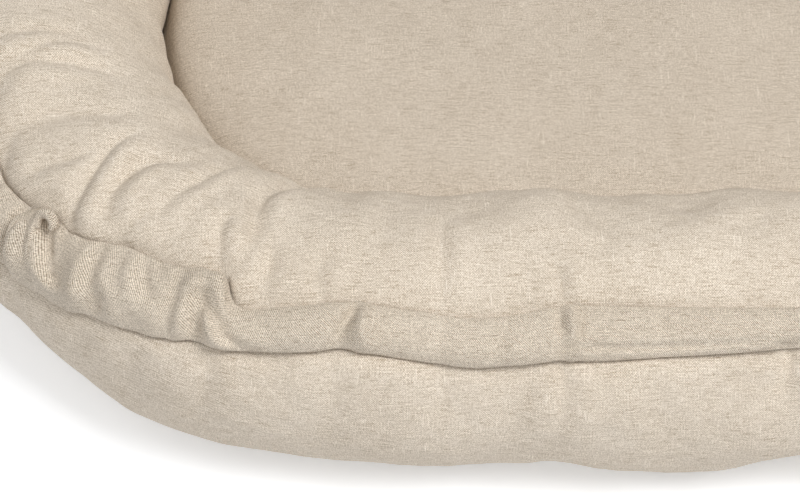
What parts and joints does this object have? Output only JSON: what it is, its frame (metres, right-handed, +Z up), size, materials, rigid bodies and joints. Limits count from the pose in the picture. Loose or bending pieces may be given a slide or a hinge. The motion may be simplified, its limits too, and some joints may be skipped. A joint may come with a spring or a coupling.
{
  "type": "infant lounger",
  "caption": "Soft infant lounger: a stuffed linen bolster bent round a padded sleeping panel, gathered by a drawcord in a sewn casing, with a zip across its base.",
  "frame": {"origin": "centre of the footprint, on the floor that the lounger lies on", "axes": "+X from the head end to the foot end, where the bolster's two ends meet; +Y to the lounger's right, seen from the foot; +Z up"},
  "size_m": [0.862, 0.565, 0.1301],
  "materials": {
    "cover_linen": "matt slubbed linen, natural beige",
    "casing_linen": "matt linen, a little greyer than the cover",
    "base_cloth": "matt plain cloth over thin padding",
    "filling": "soft white polyester fibre",
    "foam": "open-cell foam, pale cream",
    "cord_cotton": "matt cotton cord",
    "eyelet_brass": "brushed old brass",
    "zip_tape": "woven polyester tape",
    "zip_teeth": "moulded acetal, satin",
    "zip_metal": "die-cast, satin nickel"
  },
  "bodies": {
    "lounger": {"bolster_sleeve_upper": "cover_linen", "bolster_sleeve_lower": "cover_linen", "bolster_end_cap_left": "cover_linen", "bolster_end_cap_right": "cover_linen", "bolster_filling": "filling", "drawcord_casing": "casing_linen", "drawcord": "cord_cotton", "eyelet_left": "eyelet_brass", "eyelet_right": "eyelet_brass", "eyelet_washer_left": "eyelet_brass", "eyelet_washer_right": "eyelet_brass", "sleeping_panel": "cover_linen", "mattress_wadding": "filling", "mattress_core": "foam", "base_panel": "base_cloth", "zip_tape_head": "zip_tape", "zip_tape_foot": "zip_tape", "zip_teeth_head": "zip_teeth", "zip_teeth_foot": "zip_teeth", "zip_top_stop_head": "zip_metal", "zip_top_stop_foot": "zip_metal", "zip_bottom_stop": "zip_metal"},
    "slider": {"zip_slider": "zip_metal"},
    "pull": {"zip_pull": "zip_metal"}
  },
  "joints": [
    {"name": "zip_slide", "type": "slide", "parent": "lounger", "child": "slider", "axis": [0, -1, 0], "range_m": [0, 0.172], "deforming": ["zip_teeth_head", "zip_teeth_foot"]},
    {"name": "pull_swing", "type": "hinge", "parent": "slider", "child": "pull", "pos_m": [0.22199, 0.0895, 0.00305], "axis": [1, 0, 0], "range_deg": [0, 150]}
  ]
}
